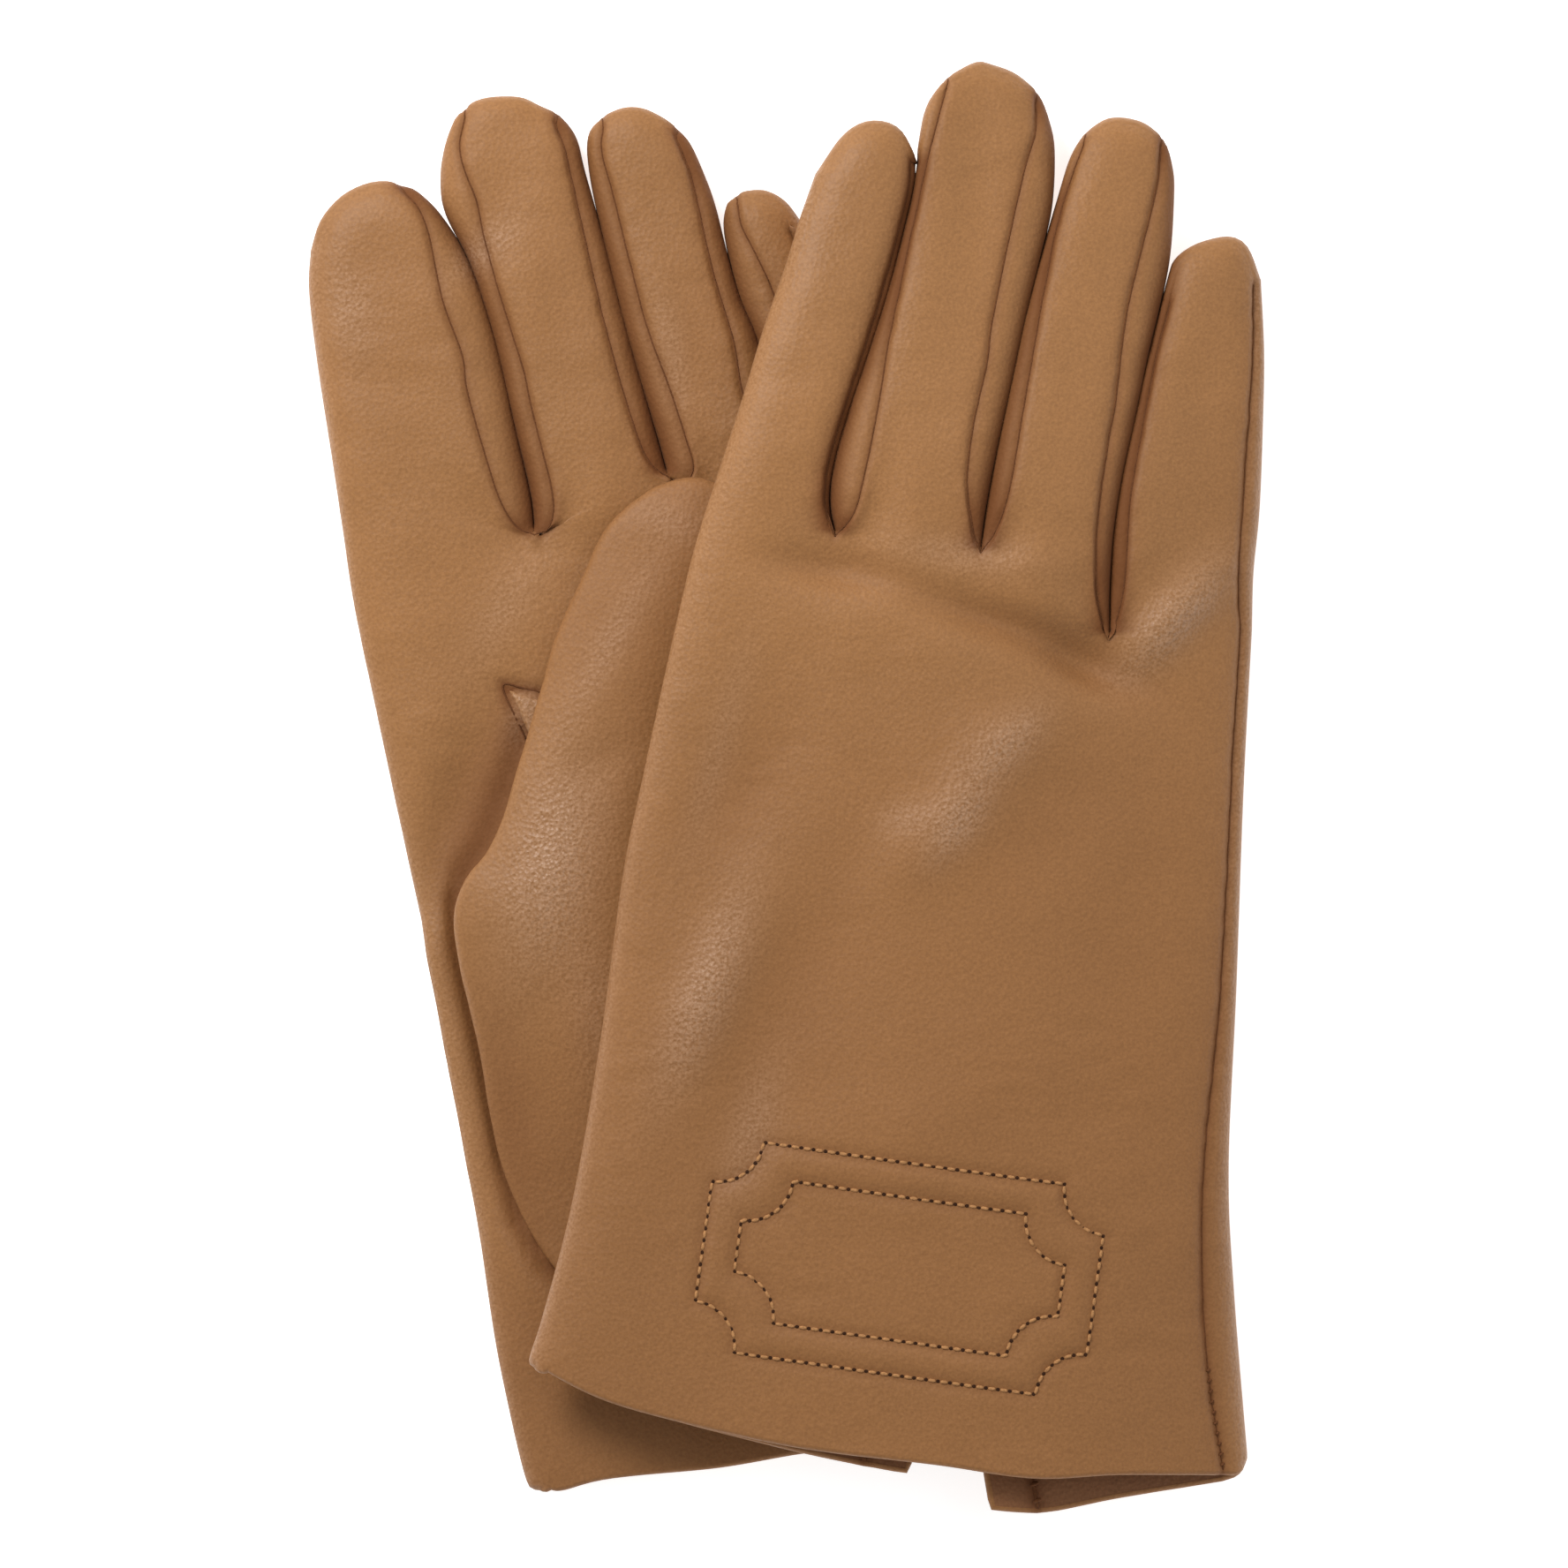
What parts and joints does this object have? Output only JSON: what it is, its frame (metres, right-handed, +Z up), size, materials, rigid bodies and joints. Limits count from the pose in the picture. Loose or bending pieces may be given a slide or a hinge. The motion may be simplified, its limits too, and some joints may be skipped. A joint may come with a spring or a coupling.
{
  "type": "leather dress gloves",
  "caption": "Pair of plain leather dress gloves, one lying palm up and the other back up across it, with set-in thumbs, slit palms and a stitched cartouche on the back.",
  "frame": {"origin": "under the middle of the pair's outline, on the surface that it lies on", "axes": "+Y towards the fingertips, +X towards the right glove, +Z up"},
  "size_m": [0.1693, 0.2543, 0.0238],
  "materials": {
    "leather": "smooth dyed lambskin with a soft satin face",
    "turned_leather": "skived and turned leather, darker and slightly glossy",
    "lining": "fine knitted lining",
    "seam_thread": "dark brown sewing thread",
    "motif_thread": "tan embroidery thread"
  },
  "bodies": {
    "left_hand": {"left_trank_back": "leather", "left_trank_palm": "leather", "left_trank_fold": "leather", "left_side_seam": "leather", "left_index_middle_fourchette": "leather", "left_middle_ring_fourchette": "leather", "left_ring_little_fourchette": "leather", "left_thumb_quirk": "leather", "left_hem_facing": "turned_leather", "left_vent_facing": "turned_leather", "left_hand_lining": "lining", "left_motif_stitching": "motif_thread", "left_thumb_base": "leather"},
    "right_hand": {"right_trank_back": "leather", "right_trank_palm": "leather", "right_trank_fold": "leather", "right_side_seam": "leather", "right_index_middle_fourchette": "leather", "right_middle_ring_fourchette": "leather", "right_ring_little_fourchette": "leather", "right_thumb_quirk": "leather", "right_hem_facing": "turned_leather", "right_vent_facing": "turned_leather", "right_hand_lining": "lining", "right_motif_stitching": "motif_thread", "right_thumb_shell": "leather", "right_thumb_lining": "lining"},
    "left_thumb": {"left_thumb_tip": "leather", "left_thumb_tip_lining": "lining"},
    "left_index_tip": {"left_index_tip_shell": "leather", "left_index_tip_fourchettes": "leather", "left_index_tip_lining": "lining"},
    "left_middle_tip": {"left_middle_tip_shell": "leather", "left_middle_tip_fourchettes": "leather", "left_middle_tip_lining": "lining"},
    "left_ring_tip": {"left_ring_tip_shell": "leather", "left_ring_tip_fourchettes": "leather", "left_ring_tip_lining": "lining"},
    "right_index_tip": {"right_index_tip_shell": "leather", "right_index_tip_fourchettes": "leather", "right_index_tip_lining": "lining"},
    "right_middle_tip": {"right_middle_tip_shell": "leather", "right_middle_tip_fourchettes": "leather", "right_middle_tip_lining": "lining"},
    "right_ring_tip": {"right_ring_tip_shell": "leather", "right_ring_tip_fourchettes": "leather", "right_ring_tip_lining": "lining"},
    "right_little_tip": {"right_little_tip_shell": "leather", "right_little_tip_fourchettes": "leather", "right_little_tip_lining": "lining"}
  },
  "joints": [
    {"name": "right_glove_lift", "type": "slide", "parent": "left_hand", "child": "right_hand", "axis": [0, 0, 1], "range_m": [0, 0.1]},
    {"name": "left_thumb_swing", "type": "hinge", "parent": "left_hand", "child": "left_thumb", "pos_m": [-0.032, -0.005, 0.011], "axis": [0, 0, 1], "range_deg": [0, 35]},
    {"name": "left_index_bend", "type": "hinge", "parent": "left_hand", "child": "left_index_tip", "pos_m": [-0.0673, 0.0715, 0.00735], "axis": [0.9823, 0.1873, 0], "range_deg": [0, 70]},
    {"name": "left_middle_bend", "type": "hinge", "parent": "left_hand", "child": "left_middle_tip", "pos_m": [-0.04176, 0.08335, 0.00735], "axis": [0.9662, 0.2577, 0], "range_deg": [0, 70]},
    {"name": "left_ring_bend", "type": "hinge", "parent": "left_hand", "child": "left_ring_tip", "pos_m": [-0.01818, 0.08574, 0.00735], "axis": [0.9632, 0.269, 0], "range_deg": [0, 70]},
    {"name": "right_index_bend", "type": "hinge", "parent": "right_hand", "child": "right_index_tip", "pos_m": [0.00246, 0.07361, 0.02395], "axis": [0.9615, -0.2747, 0], "range_deg": [0, 60]},
    {"name": "right_middle_bend", "type": "hinge", "parent": "right_hand", "child": "right_middle_tip", "pos_m": [0.02798, 0.07889, 0.02395], "axis": [0.9822, -0.1878, 0], "range_deg": [0, 60]},
    {"name": "right_ring_bend", "type": "hinge", "parent": "right_hand", "child": "right_ring_tip", "pos_m": [0.05162, 0.0729, 0.0232], "axis": [0.9803, -0.1976, 0], "range_deg": [0, 60]},
    {"name": "right_little_bend", "type": "hinge", "parent": "right_hand", "child": "right_little_tip", "pos_m": [0.0728, 0.0601, 0.01846], "axis": [0.9951, -0.0989, 0], "range_deg": [0, 60]}
  ]
}
